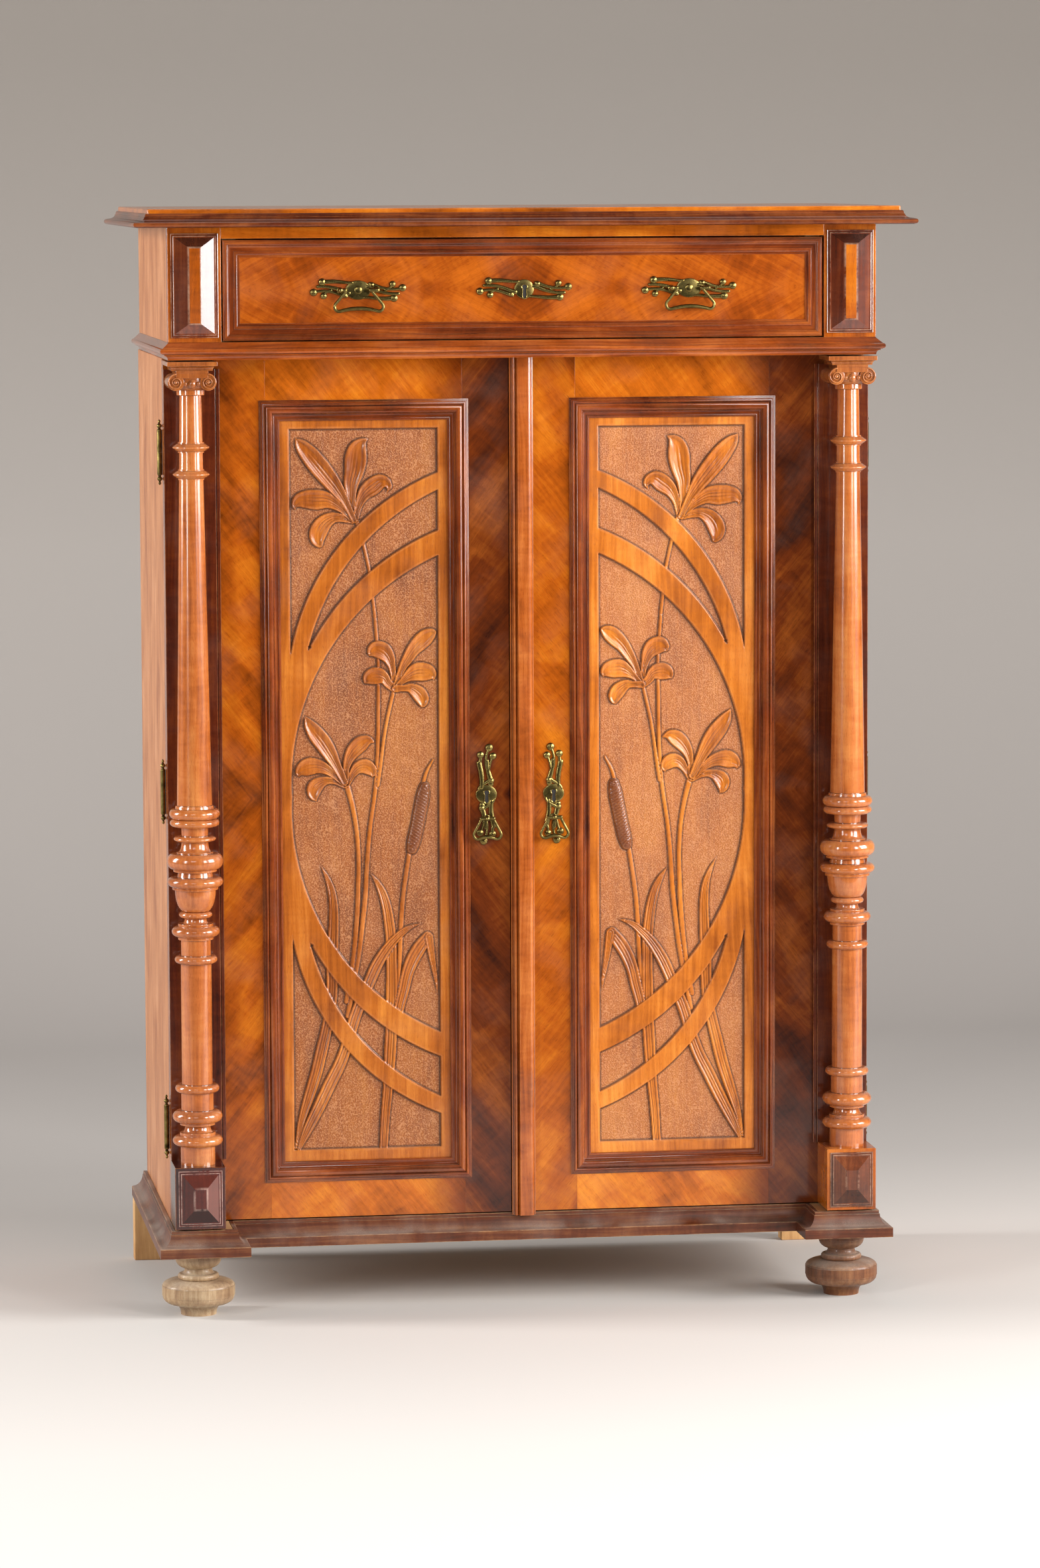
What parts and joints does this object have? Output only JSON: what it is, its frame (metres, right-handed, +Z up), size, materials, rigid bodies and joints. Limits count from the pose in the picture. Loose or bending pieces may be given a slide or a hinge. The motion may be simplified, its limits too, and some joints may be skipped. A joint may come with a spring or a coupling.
{
  "type": "parlour cabinet",
  "caption": "Tall period cabinet of a wide drawer over two carved doors, with turned columns on the doors, a stepped base, bun feet and brass bails.",
  "frame": {"origin": "On the floor, under the middle of the outer box.", "axes": "+X to the right as seen from the front, -Y out of the front, +Z up."},
  "size_m": [1.05, 0.527, 1.492],
  "materials": {
    "walnut_veneer": "polished figured walnut",
    "walnut_moulding": "polished dark walnut",
    "mahogany_block": "polished red-brown mahogany",
    "softwood": "raw pine",
    "brass_fittings": "aged cast brass",
    "iron_locks": "dull filed iron"
  },
  "bodies": {
    "case": {"top_board": "walnut_veneer", "cornice_moulding": "walnut_moulding", "frieze_rail": "walnut_veneer", "upper_sides": "walnut_veneer", "corner_stiles": "walnut_veneer", "corner_pyramids": "walnut_moulding", "middle_board": "walnut_veneer", "middle_moulding": "walnut_moulding", "drawer_guides": "softwood", "cupboard_sides": "walnut_veneer", "bottom_board": "softwood", "back_boards": "softwood", "shelf_racks": "softwood", "shelf_battens": "softwood", "shelves": "softwood", "base_frame": "softwood", "base_moulding": "walnut_moulding", "front_feet": "walnut_veneer", "rear_feet": "softwood", "case_hinge_leaves": "brass_fittings", "hinge_pins": "brass_fittings"},
    "left_door": {"left_door_frame": "walnut_veneer", "left_carved_panel": "walnut_veneer", "left_panel_moulding": "walnut_moulding", "left_pilaster": "walnut_veneer", "left_column": "walnut_veneer", "left_capital": "walnut_moulding", "left_pedestal": "mahogany_block", "left_pedestal_pyramid": "walnut_moulding", "left_hinge_leaves": "brass_fittings", "left_escutcheon": "brass_fittings", "left_door_ironwork": "iron_locks"},
    "right_door": {"right_door_frame": "walnut_veneer", "right_carved_panel": "walnut_veneer", "right_panel_moulding": "walnut_moulding", "right_pilaster": "walnut_veneer", "right_column": "walnut_veneer", "right_capital": "walnut_moulding", "right_pedestal": "walnut_veneer", "right_pedestal_pyramid": "walnut_moulding", "right_hinge_leaves": "brass_fittings", "right_escutcheon": "brass_fittings", "centre_strip": "walnut_veneer", "door_lock_case": "iron_locks"},
    "drawer": {"drawer_front": "walnut_veneer", "drawer_moulding": "walnut_moulding", "drawer_sides": "softwood", "drawer_back": "softwood", "drawer_bottom": "softwood", "drawer_handle_plates": "brass_fittings", "drawer_escutcheon": "brass_fittings", "drawer_lock_case": "iron_locks"},
    "bail_left": {"bail_left": "brass_fittings"},
    "bail_right": {"bail_right": "brass_fittings"},
    "pull_left": {"pull_left": "brass_fittings"},
    "pull_right": {"pull_right": "brass_fittings"},
    "door_lock_bolt": {"door_lock_bolt": "iron_locks"},
    "drawer_lock_bolt": {"drawer_lock_bolt": "iron_locks"},
    "left_bolt_top": {"left_bolt_top": "iron_locks"},
    "left_bolt_bottom": {"left_bolt_bottom": "iron_locks"}
  },
  "joints": [
    {"name": "left_door_hinge", "type": "hinge", "parent": "case", "child": "left_door", "pos_m": [-0.4826, -0.127, 0.7085], "axis": [0, 0, -1], "range_deg": [0, 110]},
    {"name": "right_door_hinge", "type": "hinge", "parent": "case", "child": "right_door", "pos_m": [0.4826, -0.127, 0.7085], "axis": [0, 0, 1], "range_deg": [0, 110]},
    {"name": "drawer_slide", "type": "slide", "parent": "case", "child": "drawer", "axis": [0, -1, 0], "range_m": [0, 0.32]},
    {"name": "bail_left_hinge", "type": "hinge", "parent": "drawer", "child": "bail_left", "pos_m": [-0.223, -0.2188, 1.3835], "axis": [-1, 0, 0], "range_deg": [0, 85]},
    {"name": "bail_right_hinge", "type": "hinge", "parent": "drawer", "child": "bail_right", "pos_m": [0.223, -0.2188, 1.3835], "axis": [-1, 0, 0], "range_deg": [0, 85]},
    {"name": "pull_left_hinge", "type": "hinge", "parent": "left_door", "child": "pull_left", "pos_m": [-0.046, -0.1608, 0.668], "axis": [-1, 0, 0], "range_deg": [0, 80]},
    {"name": "pull_right_hinge", "type": "hinge", "parent": "right_door", "child": "pull_right", "pos_m": [0.046, -0.1608, 0.668], "axis": [-1, 0, 0], "range_deg": [0, 80]},
    {"name": "door_bolt_slide", "type": "slide", "parent": "right_door", "child": "door_lock_bolt", "axis": [-1, 0, 0], "range_m": [0, 0.012]},
    {"name": "drawer_bolt_slide", "type": "slide", "parent": "drawer", "child": "drawer_lock_bolt", "axis": [0, 0, 1], "range_m": [0, 0.01]},
    {"name": "left_bolt_top_slide", "type": "slide", "parent": "left_door", "child": "left_bolt_top", "axis": [0, 0, 1], "range_m": [0, 0.012]},
    {"name": "left_bolt_bottom_slide", "type": "slide", "parent": "left_door", "child": "left_bolt_bottom", "axis": [0, 0, -1], "range_m": [0, 0.012]}
  ]
}
